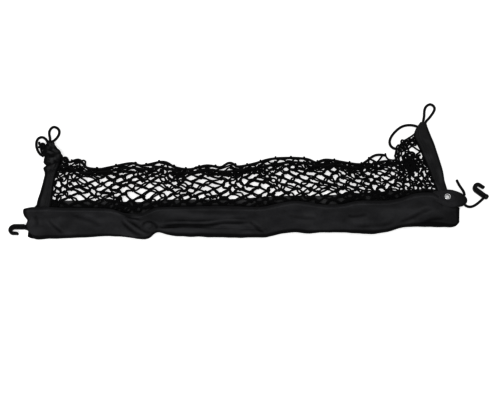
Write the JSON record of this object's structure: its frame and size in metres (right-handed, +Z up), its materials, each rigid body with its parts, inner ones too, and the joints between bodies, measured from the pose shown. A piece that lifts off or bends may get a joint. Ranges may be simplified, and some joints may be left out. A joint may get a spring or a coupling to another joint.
{
  "type": "cargo net",
  "caption": "Slack doubled car boot net behind a long puffed cloth pocket, with folded end strips, cord loops and plastic hooks, lying flat.",
  "frame": {"origin": "under the middle of the net as it lies, free cords and the hook on a cord left out, on the surface it rests on", "axes": "+X along the pocket from the left end to the right, +Y from the pocket's rolled bottom to the hanging loops, +Z up"},
  "size_m": [1.0949, 0.3539, 0.0187],
  "materials": {
    "panel_cloth": "smooth dark charcoal woven cloth, matt with a faint sheen",
    "strip_cloth": "soft black cloth tape, matt",
    "net_twine": "black knotted stretch twine, matt",
    "elastic_cord": "black braided elastic cord",
    "hook_plastic": "black moulded plastic, satin",
    "eyelet_metal": "bright pressed metal"
  },
  "bodies": {
    "root": {"back_panel": "panel_cloth", "front_panel": "panel_cloth", "side_panel_left": "strip_cloth", "side_panel_right": "strip_cloth", "end_tab_right": "panel_cloth", "eyelet_right": "eyelet_metal", "net_back": "net_twine", "net_front": "net_twine", "top_cord_back": "elastic_cord", "top_cord_front": "elastic_cord", "hang_loop_left": "elastic_cord", "hang_loop_right": "elastic_cord", "slack_loop_left": "elastic_cord", "slack_loop_right": "elastic_cord", "cord_stub_left": "elastic_cord", "hook_cord_right": "elastic_cord", "cord_tail_right": "elastic_cord", "hook_left": "hook_plastic", "hook_right": "hook_plastic"}
  },
  "joints": []
}
